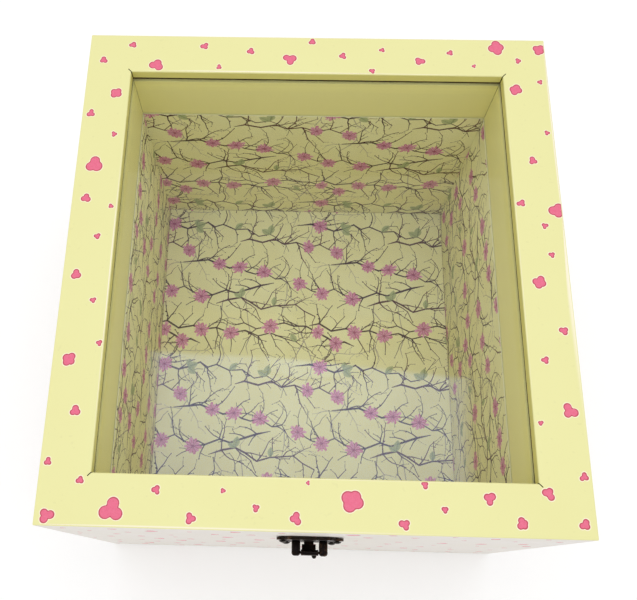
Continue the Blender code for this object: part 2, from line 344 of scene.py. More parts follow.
def noiseNode(tree, vector, scale, detail=3.0, roughness=0.5, distortion=0.0):
    node = addNode(tree, "ShaderNodeTexNoise")
    feedAll(tree, node, {"Vector": vector, "Scale": scale, "Detail": detail})
    feedAll(tree, node, {"Roughness": roughness, "Distortion": distortion})
    return node.outputs["Fac"]


def stretched(tree, vector, scale):
    node = addNode(tree, "ShaderNodeMapping")
    feedAll(tree, node, {"Vector": vector, "Scale": scale})
    return node.outputs["Vector"]


def finishWith(tree, shader, colour, roughness, height, depth, strength):
    # the three things that every finish here varies over its surface
    bump = addNode(tree, "ShaderNodeBump")
    feedAll(tree, bump, {"Height": height, "Distance": depth, "Strength": strength})
    feedAll(tree, shader, {"Base Color": colour, "Roughness": roughness, "Normal": bump.outputs[0]})


def newGroup(name, inputs, outputs):
    group = bpy.data.node_groups.new(name, "ShaderNodeTree")
    for label, kind, value in inputs:
        socket = group.interface.new_socket(name=label, in_out="INPUT", socket_type=kind)
        if value is not None:
            socket.default_value = value
    for label, kind in outputs:
        group.interface.new_socket(name=label, in_out="OUTPUT", socket_type=kind)
    return group, group.nodes.new("NodeGroupInput"), group.nodes.new("NodeGroupOutput")


def useGroup(tree, group, **values):
    node = addNode(tree, "ShaderNodeGroup")
    node.node_tree = group
    feedAll(tree, node, values)
    return node


def attributeNode(tree, name):
    return addNode(tree, "ShaderNodeAttribute", attribute_type="GEOMETRY", attribute_name=name)


def objectPlace(tree):
    return addNode(tree, "ShaderNodeTexCoord").outputs["Object"]


def makeBrushGroup():
    # fine ridges that a brush leaves in paint, with soft patches and small specks
    group, given, out = newGroup(
        "brushMarks",
        (("Place", "NodeSocketVector", None), ("Fineness", "NodeSocketFloat", 1.0)),
        (("Height", "NodeSocketFloat"), ("Patches", "NodeSocketFloat"), ("Specks", "NodeSocketFloat")),
    )
    scaled = addNode(group, "ShaderNodeVectorMath", operation="SCALE")
    feedAll(group, scaled, {"Vector": given.outputs["Place"], "Scale": given.outputs["Fineness"]})
    place = scaled.outputs[0]
    ridgesAlong = noiseNode(group, stretched(group, place, (260, 1500, 900)), 1.0, 3, 0.6)
    ridgesAcross = noiseNode(group, stretched(group, place, (1500, 260, 900)), 1.0, 3, 0.6)
    orangePeel = noiseNode(group, place, 700, 2, 0.5)
    ridges = mathNode(group, "ADD", ridgesAlong, ridgesAcross)
    height = mathNode(group, "MULTIPLY_ADD", ridges, 0.35, mathNode(group, "MULTIPLY", orangePeel, 0.3))
    group.links.new(height, out.inputs["Height"])
    group.links.new(noiseNode(group, place, 22, 4, 0.6), out.inputs["Patches"])
    specks = noiseNode(group, place, 420, 1, 0.5)
    group.links.new(stepBetween(group, specks, 0.70, 0.76), out.inputs["Specks"])
    return group


def makeWearGroup():
    # blotchy wear and fine grime for small metal parts
    group, given, out = newGroup(
        "metalWear",
        (("Place", "NodeSocketVector", None), ("Grain", "NodeSocketFloat", 900.0)),
        (("Worn", "NodeSocketFloat"), ("Grime", "NodeSocketFloat"), ("Height", "NodeSocketFloat")),
    )
    coarse = noiseNode(group, given.outputs["Place"], 260, 5, 0.65)
    fine = noiseNode(group, given.outputs["Place"], given.outputs["Grain"], 4)
    group.links.new(stepBetween(group, coarse, 0.48, 0.68), out.inputs["Worn"])
    group.links.new(stepBetween(group, fine, 0.35, 0.7), out.inputs["Grime"])
    height = mathNode(group, "MULTIPLY_ADD", coarse, 0.6, mathNode(group, "MULTIPLY", fine, 0.4))
    group.links.new(height, out.inputs["Height"])
    return group


brushMarks = makeBrushGroup()
metalWear = makeWearGroup()


paintSettings = {
    "yellow": (0.855, 0.838, 0.405),
    "yellowWarm": (0.840, 0.805, 0.375),
    # the inner colours are the yellow paint made deeper and more saturated: painted shade and yellow bounce
    # light for the faces inside the box and lid
    "inner": (0.885, 0.838, 0.375),
    "innerWarm": (0.850, 0.798, 0.330),
    # the rim colours are the yellow paint darkened as painted shade, for the inner faces above the glass
    # that lie in the shadow of the lid's lip
    "rim": (0.745, 0.700, 0.235),
    "rimWarm": (0.700, 0.650, 0.200),
    "sidePale": (0.800, 0.750, 0.720),
    "sideWarm": (0.780, 0.735, 0.640),
    "pink": (0.850, 0.155, 0.270),
    "pinkRim": (0.560, 0.075, 0.110),
    "halo": (0.975, 0.910, 0.690),
    "pinkPale": (0.890, 0.250, 0.360),
    "sideHalo": (0.860, 0.800, 0.760),
    "seam": (0.034, 0.015, 0.004),
    "seamPale": (0.110, 0.055, 0.014),
    "roughness": 0.42,
    "brushDepth": 0.00006,
}


def makePaint(name, pale, warm, halo, haloStrength):
    material, tree, shader = newMaterial(name)
    pale, warm, haloColour = (paintSettings[key] for key in (pale, warm, halo))
    place = objectPlace(tree)
    marks = useGroup(tree, brushMarks, Place=place, Fineness=1.0)
    ground = mixColour(tree, marks.outputs["Patches"], pale, warm)
    speckShare = mathNode(tree, "MULTIPLY", marks.outputs["Specks"], 0.12)
    ground = mixColour(tree, speckShare, ground, tuple(channel * 0.72 for channel in warm))
    blot = attributeNode(tree, "blot").outputs["Fac"]
    wobble = noiseNode(tree, place, 1400, 2, 0.5)
    ragged = mathNode(tree, "MULTIPLY_ADD", mathNode(tree, "SUBTRACT", wobble, 0.5), 0.16, blot)
    halo = mathNode(tree, "MULTIPLY", stepBetween(tree, blot, 0.05, 0.34), haloStrength)
    ground = mixColour(tree, halo, ground, haloColour)
    inside = stepBetween(tree, ragged, 0.46, 0.54)
    core = stepBetween(tree, ragged, 0.84, 1.02)
    streaks = stepBetween(tree, noiseNode(tree, place, 600, 3, 0.6), 0.3, 0.75, 0.0, 0.35)
    pinkVaried = mixColour(tree, streaks, paintSettings["pink"], paintSettings["pinkPale"])
    blotColour = mixColour(tree, core, paintSettings["pinkRim"], pinkVaried)
    colour = mixColour(tree, inside, ground, blotColour)
    smoothest = paintSettings["roughness"] - 0.08
    uneven = mathNode(tree, "MULTIPLY_ADD", marks.outputs["Patches"], 0.16, smoothest)
    roughness = mathNode(tree, "MULTIPLY_ADD", inside, 0.08, uneven)
    shader.inputs["Specular IOR Level"].default_value = 0.4
    finishWith(tree, shader, colour, roughness, marks.outputs["Height"], paintSettings["brushDepth"], 0.6)
    return material


# painted shade and bounce light: the yellow paint as it looks on the shaded inner faces
innerPaint = makePaint("innerPaint", "inner", "innerWarm", "halo", 0.9)
# painted shade: the inner faces above the glass, in the shadow of the lid's lip
rimPaint = makePaint("rimPaint", "rim", "rimWarm", "halo", 0.9)
yellowPaint = makePaint("yellowPaint", "yellow", "yellowWarm", "halo", 1.0)
sidePaint = makePaint("sidePaint", "sidePale", "sideWarm", "sideHalo", 0.3)


def makeDarkSeam():
    # old brown glue and shadow in the joints
    material, tree, shader = newMaterial("darkSeam")
    place = objectPlace(tree)
    lumps = noiseNode(tree, place, 520, 4, 0.6)
    share = stepBetween(tree, lumps, 0.35, 0.7)
    colour = mixColour(tree, share, paintSettings["seam"], paintSettings["seamPale"])
    roughness = stepBetween(tree, lumps, 0.3, 0.7, 0.45, 0.75)
    finishWith(tree, shader, colour, roughness, lumps, 0.00012, 0.6)
    return material


darkSeam = makeDarkSeam()


def blotOutline(centre, size, lobes, rng):
    # the edge of a dab of a few round lobes, as distances round its middle
    half = size / 2
    turn = rng.uniform(0, 2 * math.pi)
    circles = []
    for lobe in range(lobes):
        angle = turn + 2 * math.pi * lobe / lobes + rng.uniform(-0.32, 0.32)
        away = half * rng.uniform(0.38, 0.54)
        circles.append((angle, away, half * rng.uniform(0.46, 0.56)))
    edge = []
    for step in range(woodSettings["blotCorners"]):
        angle = 2 * math.pi * step / woodSettings["blotCorners"]
        reach = half * 0.52
        for lobeAngle, away, radius in circles:
            across = away * math.sin(angle - lobeAngle)
            if abs(across) < radius and math.cos(angle - lobeAngle) > 0:
                reach = max(reach, away * math.cos(angle - lobeAngle) + math.sqrt(radius ** 2 - across ** 2))
        edge.append((angle, reach))
    return centre, edge


def blotRings(blot, soften):
    # three nested loops: full colour inside, the edge itself, and where the halo ends
    (cx, cy), edge = blot
    rings = []
    for value, offset in ((1.0, -1.0), (0.5, 0.0), (0.0, 1.0)):
        loop = []
        for angle, reach in edge:
            radius = reach + offset * min(soften, reach * 0.45)
            loop.append((cx + radius * math.cos(angle), cy + radius * math.sin(angle)))
        rings.append((value, loop))
    return rings


def insideOf(spots, starts, ends):
    # which spots lie within an outline: a line to the right crosses its edges an odd number of times
    x, y = spots[:, :1], spots[:, 1:]
    crosses = (starts[:, 1] > y) != (ends[:, 1] > y)
    rise = np.where(ends[:, 1] == starts[:, 1], 1.0, ends[:, 1] - starts[:, 1])
    meet = starts[:, 0] + (y - starts[:, 1]) * (ends[:, 0] - starts[:, 0]) / rise
    return (crosses & (x < meet)).sum(axis=1) % 2 == 1


def splitRim(rim, made, places, across, up):
    # where a dab runs over the rim, the edge there gets a corner, so the faces beyond stay joined
    for edge in rim:
        first, last = edge.verts
        start = Vector((first.co[across], first.co[up]))
        along = Vector((last.co[across], last.co[up])) - start
        hits = []
        for index, vert in made.items():
            offset = places[index] - start
            share = offset.dot(along) / along.length_squared
            if vert is None and 0 < share < 1 and (offset - along * share).length < 2e-6:
                hits.append((share, index))
        done = 0
        for share, index in sorted(hits):
            _, vert = bmesh.utils.edge_split(edge, first, (share - done) / (1 - done))
            edge = next(other for other in vert.link_edges if last in other.verts)
            first, done = vert, share
            made[index] = vert


def imprintBlots(piece, axis, side, level, blots, soften=0.0007):
    # swaps the flat faces at this level for ones that carry the blots' outlines
    mesh = bmesh.new()
    mesh.from_mesh(piece.data)
    layer = mesh.verts.layers.float.get("blot") or mesh.verts.layers.float.new("blot")
    flat = []
    for face in mesh.faces:
        if abs(face.normal[axis] - side) < 1e-3 and abs(face.calc_center_median()[axis] - level) < 2e-5:
            flat.append(face)
    flatSet = set(flat)
    across, up = [index for index in range(3) if index != axis]
    rim = [e for face in flat for e in face.edges if sum(f in flatSet for f in e.link_faces) == 1]
    rim = list(dict.fromkeys(rim))
    corners = list(dict.fromkeys(vert for e in rim for vert in e.verts))
    number = {vert: index for index, vert in enumerate(corners)}
    points = [Vector((vert.co[across], vert.co[up])) for vert in corners]
    edges = [(number[e.verts[0]], number[e.verts[1]]) for e in rim]
    values = [0.0] * len(points)
    for blot in blots:
        for value, loop in blotRings(blot, soften):
            first = len(points)
            points += [Vector(point) for point in loop]
            values += [value] * len(loop)
            edges += [(first + i, first + (i + 1) % len(loop)) for i in range(len(loop))]
    places, _, triangles, origins, _, _ = geometry.delaunay_2d_cdt(points, edges, [], 0, 1e-6)
    material = flat[0].material_index
    bmesh.ops.delete(mesh, geom=flat, context="FACES_KEEP_BOUNDARY")
    ends = np.array([(*points[a], *points[b]) for a, b in edges[:len(rim)]])
    middles = np.array([(place.x, place.y) for place in places])[np.array(triangles)].mean(axis=1)
    inside = insideOf(middles, ends[:, :2], ends[:, 2:])
    kept = [triangle for triangle, wanted in zip(triangles, inside) if wanted]
    made = {}
    for index in dict.fromkeys(index for triangle in kept for index in triangle):
        known = [given for given in origins[index] if given < len(corners)]
        made[index] = corners[known[0]] if known else None
    splitRim(rim, made, places, across, up)
    for index, vert in made.items():
        if vert is None:
            spot = [0.0, 0.0, 0.0]
            spot[axis], spot[across], spot[up] = level, places[index][0], places[index][1]
            made[index] = vert = mesh.verts.new(spot)
        if vert not in number:
            vert[layer] = max((values[given] for given in origins[index]), default=0.5)
    for triangle in kept:
        face = mesh.faces.new([made[index] for index in triangle])
        face.material_index = material
        face.normal_update()
        if face.normal[axis] * side < 0:
            face.normal_flip()
    mesh.to_mesh(piece.data)
    mesh.free()


def scatterBlots(low, high, spacing, sizes, rng):
    # dabs spread over a side without touching each other
    blots = []
    for _ in range(woodSettings["blotTries"]):
        size = rng.choice(sizes)
        edge = size / 2 + woodSettings["blotMargin"]
        spot = (rng.uniform(low[0] + edge, high[0] - edge), rng.uniform(low[1] + edge, high[1] - edge))
        if any(math.dist(spot, centre) < spacing for centre, _ in blots):
            continue
        blots.append(blotOutline(spot, size, rng.choice((3, 3, 4)), rng))
    return blots


# where each dab on the lid is seen, in pixels of the picture, with its width
lidBlotMarks = [
    (75, 411, 10), (48, 461, 7.5), (80, 480, 7.5), (46, 515, 14), (111, 510, 22), (156, 490, 8),
    (223, 491, 5), (190, 518, 10.5), (256, 508, 7), (296, 519, 11.5), (308, 483, 4), (352, 501, 19.5),
    (425, 485, 7), (405, 525, 10), (445, 510, 6.5), (490, 499, 11.5), (523, 524, 10.5), (549, 494, 12),
    (585, 525, 10), (584, 477, 8), (541, 423, 5), (570, 411, 13.5), (133, 45, 7), (104, 60, 7),
    (156, 65, 12.5), (205, 46, 7.5), (251, 51, 7), (219, 67, 5), (290, 59, 12), (312, 42, 6.5),
    (116, 93, 10.5), (91, 113, 7.5), (114, 134, 5.5), (94, 164, 16.5), (86, 198, 9.5), (111, 206, 5),
    (343, 56, 6.5), (382, 50, 5), (372, 71, 5.5), (420, 61, 9.5), (450, 53, 6), (474, 66, 4),
    (496, 48, 13.5), (539, 50, 10.5), (518, 61, 5.5), (516, 90, 11), (540, 82, 5), (547, 133, 5),
    (533, 161, 8), (521, 203, 7.5), (557, 211, 14.5), (97, 236, 6), (76, 274, 10), (93, 300, 6),
    (99, 343, 6), (69, 359, 12), (545, 226, 6), (552, 255, 6), (539, 282, 12), (564, 331, 8), (545, 360, 7),
]


def lidBlots(top, rng):
    blots = []
    for across, down, width in lidBlotMarks:
        start, direction = pixelRay(across, down)
        reach = (top - start.z) / direction.z
        spot = start + direction * reach
        size = width / focalPixels() * reach * woodSettings["blotSize"]
        blots.append(blotOutline((spot.x, spot.y), size, 3 if width < 9 else rng.choice((3, 3, 4)), rng))
    return blots


woodSettings = {
    "board": 0.025,
    "grooveDepth": 0.0063,
    "grooveSlack": 0.0003,
    # the dark bead in this gap is brown glue and painted shadow of the groove
    "glassGap": 0.0014,  # filled by the dark bead that shows above the glass
    "sealWidth": 0.004,
    "outerRound": 0.0006,
    "crackWidth": 0.00050,
    "hairline": 0.00016,
    "hairDepth": 0.0007,
    "crackDepth": 0.0024,
    "smallBlots": (0.003, 0.0036, 0.0045, 0.005, 0.0062, 0.0075),
    "blotCorners": 36,
    "blotSpacing": 0.0185,
    "blotMargin": 0.0028,
    "blotTries": 4000,
    "blotSize": 1.24,  # the marks' widths are a little less than the dabs'
}


def paintedFrame(name, low, high, groove):
    # four boards under one coat of paint: a hollow block with a groove round its inside
    board = woodSettings["board"]
    piece = addBlock(name, low, high)
    hollowLow = (low.x + board, low.y + board, low.z - 0.01)
    hollowHigh = (high.x - board, high.y - board, high.z + 0.01)
    cutWith(piece, addBlock("hollowCutter", hollowLow, hollowHigh))

    def roundedEdge(start, end):
        # every rim and outer corner, but not the upright inner corners, where two boards meet
        if (start - end).xy.length < 1e-6:
            return high.x - abs(start.x) < 1e-5 and high.y - abs(start.y) < 1e-5
        if abs(start.z - end.z) > 1e-6:
            return False
        for i in (0, 1):
            inward = high[i] - abs(start[i])
            if abs(start[i] - end[i]) < 1e-6 and (inward < 1e-5 or abs(inward - board) < 1e-5):
                return True
        return False

    bevelWhere(piece, woodSettings["outerRound"], 3, roundedEdge)
    deep = board - woodSettings["grooveDepth"]
    grooveLow = (low.x + deep, low.y + deep, groove[0])
    grooveHigh = (high.x - deep, high.y - deep, groove[1])
    cutWith(piece, addBlock("grooveCutter", grooveLow, grooveHigh))
    return piece


def cutCornerCracks(piece, high, bottom, top, width, deep):
    # the mitres have opened a hair's breadth at the inner corners
    board = woodSettings["board"]
    half = width / 2
    for signX in (-1, 1):
        for signY in (-1, 1):
            x = (high.x - board) * signX
            y = (high.y - board) * signY
            crack = addBlock("crackCutter", (-deep, -half, bottom), (deep, half, top))
            pickOnly(crack)
            crack.rotation_euler = (0, 0, math.atan2(signY, signX))
            crack.location = (x, y, 0)
            bpy.ops.object.transform_apply(location=True, rotation=True, scale=True)
            cutWith(piece, crack)


def paintPiece(piece, high, shadedRimFrom):
    # pale on the outer sides; on the inner faces a deeper yellow that paints in their shade and yellow
    # bounce light, and above the glass a darker yellow as painted shade; dark brown in the corner cracks;
    # yellow elsewhere
    board = woodSettings["board"]
    outer = woodSettings["outerRound"] + 1e-5
    piece.data.materials.clear()
    for material in (yellowPaint, sidePaint, innerPaint, darkSeam, rimPaint):
        piece.data.materials.append(material)
    top, side, inner, seam, rim = range(5)
    for face in piece.data.polygons:
        across, along = abs(face.center.x), abs(face.center.y)
        diagonal = abs(face.normal.x) > 0.5 and abs(face.normal.y) > 0.5
        if diagonal and across < high.x - board + 0.004:
            face.material_index = seam
        elif (high.x - across < outer or high.y - along < outer) and face.normal.z < 0.35:
            face.material_index = side
        # inner faces take the inner paint, whose deeper yellow is painted shade and bounce light
        elif across < high.x - board + 1e-5 and along < high.y - board + 1e-5:
            # faces above the glass take the darker rim paint, which is painted shade
            face.material_index = rim if face.center.z > shadedRimFrom else inner
        else:
            face.material_index = top


def buildLid(rng):
    low, high = nodeBox("lid_front", "lid_back", "lid_left", "lid_right")
    glassLow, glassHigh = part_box("glass_pane")
    groove = (glassLow.z - woodSettings["grooveSlack"], glassHigh.z + woodSettings["glassGap"])
    piece = paintedFrame("lidPaint", low, high, groove)
    width, deep = woodSettings["crackWidth"], woodSettings["crackDepth"]
    cutCornerCracks(piece, high, glassHigh.z, high.z + 0.001, width, deep)
    width, deep = woodSettings["hairline"], woodSettings["hairDepth"]
    cutCornerCracks(piece, high, low.z - 0.001, glassLow.z, width, deep)
    paintPiece(piece, high, glassHigh.z)
    imprintBlots(piece, 2, 1, high.z, lidBlots(high.z, rng))
    paintSides(piece, low, high, rng)
    smoothByAngle(piece)
    evenNormals(piece)
    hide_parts("lid_front", "lid_back", "lid_left", "lid_right")
    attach(piece, "lid")


def paintSides(piece, low, high, rng):
    for axis, side in ((0, -1), (0, 1), (1, -1), (1, 1)):
        other = 1 - axis
        level = (low if side < 0 else high)[axis]
        settings = woodSettings["blotSpacing"], woodSettings["smallBlots"]
        blots = scatterBlots((low[other], low.z), (high[other], high.z), *settings, rng)
        imprintBlots(piece, axis, side, level, blots)


def buildGlassSealAndShade(rng):
    # the uneven dark brown bead that beds the glass under the lip of the lid: brown glue, and painted shadow
    # of the groove above the glass
    _, high = nodeBox("lid_front", "lid_back", "lid_left", "lid_right")
    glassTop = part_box("glass_pane")[1].z
    board = woodSettings["board"]
    inX, inY = high.x - board + 0.0001, high.y - board + 0.0001
    top = glassTop + woodSettings["glassGap"]
    wide = woodSettings["sealWidth"]
    base = glassTop + 0.00002
    piece = addBlock("glassSeal", (-inX - wide, -inY - wide, base), (inX + wide, inY + wide, top))
    cutWith(piece, addBlock("sealCutter", (-inX, -inY, glassTop - 0.01), (inX, inY, top + 0.01)))
    editWhole(piece, (bpy.ops.mesh.subdivide, {"number_cuts": 22}))
    for vert in piece.data.vertices:
        onX, onY = abs(abs(vert.co.x) - inX) < 1e-5, abs(abs(vert.co.y) - inY) < 1e-5
        if onX and abs(vert.co.y) < inY:
            vert.co.x += math.copysign(rng.uniform(-0.0001, 0.0003), vert.co.x)
        elif onY and abs(vert.co.x) < inX:
            vert.co.y += math.copysign(rng.uniform(-0.0001, 0.0003), vert.co.y)
    piece.data.materials.clear()
    piece.data.materials.append(darkSeam)
    smoothByAngle(piece, 50)
    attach(piece, "lid")


def buildBody(rng):
    low, high = nodeBox("body_front", "body_back", "body_left", "body_right")
    panelLow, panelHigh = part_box("floor_panel")
    slack = woodSettings["grooveSlack"]
    piece = paintedFrame("bodyPaint", low, high, (panelLow.z - slack, panelHigh.z + slack))
    paintPiece(piece, high, high.z)
    paintSides(piece, low, high, rng)
    smoothByAngle(piece)
    evenNormals(piece)
    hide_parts("body_front", "body_back", "body_left", "body_right")
    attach(piece, "box")


printSettings = {
    "repeat": 0.1123,
    "floorSheet": 0.0003,
    "wallSheet": 0.00042,
    "paper": (0.885, 0.862, 0.520),
    "paperWarm": (0.850, 0.815, 0.450),
    "paperCore": (0.93, 0.90, 0.62),
    "paperCut": (0.74, 0.72, 0.52),
    "twigDark": (0.056, 0.020, 0.023),
    "twigBrown": (0.100, 0.036, 0.033),
    "twigPale": (0.240, 0.195, 0.220),
    "petal": (0.620, 0.190, 0.360),
    "petalPale": (0.780, 0.400, 0.570),
    "petalDark": (0.400, 0.090, 0.200),
    "leaf": (0.370, 0.425, 0.200),
    "leafVein": (0.200, 0.260, 0.140),
    "leafPale": (0.480, 0.520, 0.270),
    "mainTwigs": 7,
    "sideTries": 9,
    "paleTwigs": 6,
    "blossoms": 14,
    "leaves": 6,
    "seed": 41,
}


fifthTurn = 1.2566  # radians


def pointing(angle):
    return Vector((math.cos(angle), math.sin(angle)))


class PrintDesign:
    # one repeat of the paper: ink shapes, later ones over earlier ones

    def __init__(self, settings):
        self.settings = settings
        self.rng = random.Random(settings["seed"])
        self.shapes = []
        self.joints = []
        self.sides = []
        self.filled = []  # points on the twigs so far, to find the open paper between them

    def add(self, outline, colour, strength):
        self.shapes.append(([Vector(point) for point in outline], colour, strength))

    def ribbon(self, path, widths, colour, strength):
        left, right = [], []
        for index, point in enumerate(path):
            before = path[max(index - 1, 0)]
            after = path[min(index + 1, len(path) - 1)]
            along = (after - before).normalized()
            aside = Vector((-along.y, along.x)) * widths[index] / 2
            left.append(point + aside)
            right.append(point - aside)
        self.add(left + right[::-1], colour, strength)

    def bud(self, point, heading, size, colour, strength):
        along = pointing(heading)
        aside = Vector((-along.y, along.x))
        outline = [
            point - aside * size * 0.35, point + along * size * 0.5 - aside * size * 0.5,
            point + along * size * 1.3, point + along * size * 0.6 + aside * size * 0.5,
            point + aside * size * 0.35,
        ]
        self.add(outline, colour, strength)

    def twig(self, start, heading, length, thickness, level, colour, strength):
        rng = self.rng
        steps = max(2, round(length / 0.0044))
        path = [Vector(start)]
        drift = rng.choice((-1, 1)) * rng.uniform(0.0, 0.10)
        widths = [thickness]
        later = []
        for step in range(steps):
            heading += drift + rng.uniform(-0.46, 0.46)
            stride = length / steps * rng.uniform(0.75, 1.25)
            path.append(path[-1] + pointing(heading) * stride)
            share = (step + 1) / steps
            widths.append(thickness * (1 - 0.55 * share))
            if level > 0 and rng.random() < 0.50:
                turned = heading + rng.choice((-1, 1)) * rng.uniform(0.50, 1.15)
                later.append((path[-1].copy(), turned, rng.uniform(0.0028, 0.0080), widths[-1] * 0.75))
            elif rng.random() < 0.4:
                turned = heading + rng.choice((-1, 1)) * rng.uniform(0.6, 1.3)
                self.bud(path[-1], turned, widths[-1] * 1.7, colour, strength)
        if thickness > 0.0004:
            self.filled += [self.wrapped(point) for point in path[1:]]
        self.ribbon(path, widths, colour, strength)
        self.bud(path[-1], heading, max(widths[-1] * 1.9, 0.0006), colour, strength)
        for point, turned, reach, thin in later:
            self.twig(point, turned, reach, max(thin, 0.00036), level - 1, colour, strength)

    def blossom(self, centre, size):
        # petals side by side over a dark base, each with a paler middle
        rng = self.rng
        settings = self.settings
        turn = rng.uniform(0, 6.28)
        squeeze = rng.uniform(0.74, 1.0)
        flat = rng.uniform(0, math.pi)
        count = rng.randint(10, 12)
        angles = [turn + 2 * math.pi * (index + rng.uniform(-0.22, 0.22)) / count for index in range(count)]

        def spot(angle, share):
            reach = size / 2 * share * (1 - (1 - squeeze) * abs(math.sin(angle - flat)))
            return centre + pointing(angle) * reach

        self.add([spot(turn + k * math.pi / 5, 0.70) for k in range(10)], settings["petalDark"], 0.80)
        for index in range(count):
            first, last = angles[index], angles[(index + 1) % count]
            last += 2 * math.pi if last < first else 0
            gap = (last - first) * 0.07
            middle = (first + last) / 2 + rng.uniform(-0.08, 0.08)
            reach = rng.uniform(0.80, 1.10)
            tip = (last - first) * 0.16
            outline = [
                spot(middle, 0.12), spot(first + gap, 0.52 * reach), spot(first + gap * 2, 0.84 * reach),
                spot(middle - tip, reach), spot(middle + tip, 0.98 * reach),
                spot(last - gap * 2, 0.82 * reach), spot(last - gap, 0.52 * reach),
            ]
            pair = (settings["petal"], settings["petalPale"])
            self.add(outline, pair[index % 2], 0.94)
            width = (last - first) * 0.20
            inner = [
                spot(middle, 0.26), spot(middle - width, 0.58 * reach),
                spot(middle, 0.86 * reach), spot(middle + width, 0.56 * reach),
            ]
            self.add(inner, pair[(index + 1) % 2], 0.85)
        self.add([spot(turn + k * fifthTurn, 0.17) for k in range(5)], settings["petalDark"], 0.85)

    def leaf(self, base, heading, length):
        settings = self.settings
        along = pointing(heading)
        aside = Vector((-along.y, along.x))
        profile = ((0.0, 0.08), (0.15, 0.55), (0.35, 0.92), (0.55, 1.0), (0.75, 0.72), (0.90, 0.34))
        width = length * self.rng.uniform(0.55, 0.72)
        left = [base + along * length * a + aside * width * b / 2 for a, b in profile]
        right = [base + along * length * a - aside * width * b / 2 for a, b in reversed(profile)]
        self.add(left + [base + along * length] + right, settings["leaf"], 0.78)
        self.add(left + [base + along * length], settings["leafPale"], 0.55)
        tip = base + along * length * 0.96
        self.ribbon([base, (base + tip) / 2, tip], [0.0004, 0.0003, 0.0001], settings["leafVein"], 0.9)
        for share in (0.2, 0.38, 0.56, 0.74):
            root = base + along * length * share
            for side in (-1, 1):
                end = root + (along * 0.55 + aside * side * 0.75) * width * 0.42 * (1.15 - share)
                vein = [root, (root + end) / 2, end]
                self.ribbon(vein, [0.00022, 0.0002, 0.0001], settings["leafVein"], 0.75)

    def freeSpot(self, taken, distance):
        for _ in range(500):
            point, heading = self.rng.choice(self.joints)
            here = self.wrapped(point)
            if all(self.wrappedGap(here, other) > distance for other in taken):
                taken.append(here)
                return here, heading
        return None

    def wrapped(self, point):
        repeat = self.settings["repeat"]
        return Vector((point[0] % repeat, point[1] % repeat))

    def openness(self, point):
        # how far a point lies from all twigs so far
        here = self.wrapped(point)
        return min((self.wrappedGap(here, other) for other in self.filled), default=1.0)

    def growSides(self):
        # each side twig tries a few ways and takes the one into the most open paper
        rng = self.rng
        settings = self.settings
        for point, along, width, colour, strength in self.sides:
            best = (-1, 0, 0)
            for _ in range(settings["sideTries"]):
                turned = along + rng.choice((-1, 1)) * rng.uniform(0.45, 1.20)
                reach = rng.uniform(0.009, 0.023)
                ahead = pointing(turned) * reach
                space = min(self.openness(point + ahead), 1.5 * self.openness(point + ahead * 0.6))
                best = max(best, (space, turned, reach))
            self.twig(point, best[1], best[2], min(width * 0.80, 0.00092), 1, colour, strength)
        self.sides.clear()

    def wrappedGap(self, first, second):
        repeat = self.settings["repeat"]
        gaps = [abs(first[i] - second[i]) for i in range(2)]
        return math.hypot(*[min(gap, repeat - gap) for gap in gaps])

    def vine(self, start, heading, joints, thickness, colour, strength, lush):
        # a main branch: long zigzag strides, side twigs at its joints
        rng = self.rng
        path, widths = [Vector(start)], [thickness * 0.3]
        lean = rng.choice((-1, 1))
        for joint in range(joints):
            lean = -lean if rng.random() < 0.7 else lean
            stride = rng.uniform(0.0065, 0.0115)
            turned = heading + lean * rng.uniform(0.14, 0.52)
            path.append(path[-1] + pointing(turned) * stride)
            widths.append(thickness * (1 - 0.50 * (joint + 1) / joints))
            self.joints.append((path[-1].copy(), turned))
            for _ in range(2 if rng.random() < 0.35 else 1):
                if rng.random() < lush:
                    self.sides.append((path[-1].copy(), turned, widths[-1], colour, strength))
        self.filled += [self.wrapped(point) for point in path]
        self.filled += [self.wrapped((a + b) / 2) for a, b in zip(path, path[1:])]
        self.ribbon(path, widths, colour, strength)
        for point, width in zip(path[1:-1], widths[1:-1]):
            if rng.random() < 0.4:
                self.knot(point, width * 1.4, colour, strength)

    def knot(self, point, size, colour, strength):
        turn = self.rng.uniform(0, 1.5)
        loop = [point + pointing(turn + k * fifthTurn) * size / 2 for k in range(5)]
        self.add(loop, colour, strength)

    def draw(self):
        rng = self.rng
        settings = self.settings
        repeat = settings["repeat"]
        rows = settings["paleTwigs"]
        for index in range(rows):
            start = (repeat * (index + rng.uniform(0.2, 0.8)) / rows, repeat * (0.618 * index % 1))
            heading = rng.choice((-1, 1)) * math.pi / 2 + rng.uniform(-0.6, 0.6)
            self.vine(start, heading, rng.randint(4, 6), 0.00092, settings["twigPale"], 0.62, 0.50)
        self.growSides()
        self.joints.clear()
        self.filled.clear()
        rows = settings["mainTwigs"]
        for index in range(rows):
            start = (repeat * (0.382 * index % 1), repeat * (index + rng.uniform(0.40, 0.60)) / rows)
            heading = (math.pi if index % 4 == 2 else 0) - 0.10 + rng.uniform(-0.08, 0.08)
            colour = settings["twigDark"] if rng.random() < 0.7 else settings["twigBrown"]
            self.vine(start, heading, rng.randint(9, 11), 0.00150, colour, 0.98, 1.0)
        self.growSides()
        taken = []
        for _ in range(settings["leaves"]):
            spot = self.freeSpot(taken, repeat * 0.18)
            if spot:
                for turn in rng.sample((-1.1, 0.1, 1.2, 2.4), rng.randint(1, 3)):
                    self.leaf(spot[0], spot[1] + turn, rng.uniform(0.0060, 0.0085))
        for _ in range(settings["blossoms"]):
            spot = self.freeSpot(taken, repeat * 0.135)
            if spot:
                self.blossom(spot[0], rng.uniform(0.0116, 0.0146))
        print("paper repeat drawn:", len(self.shapes), "ink shapes,", len(taken), "blossoms and leaves")


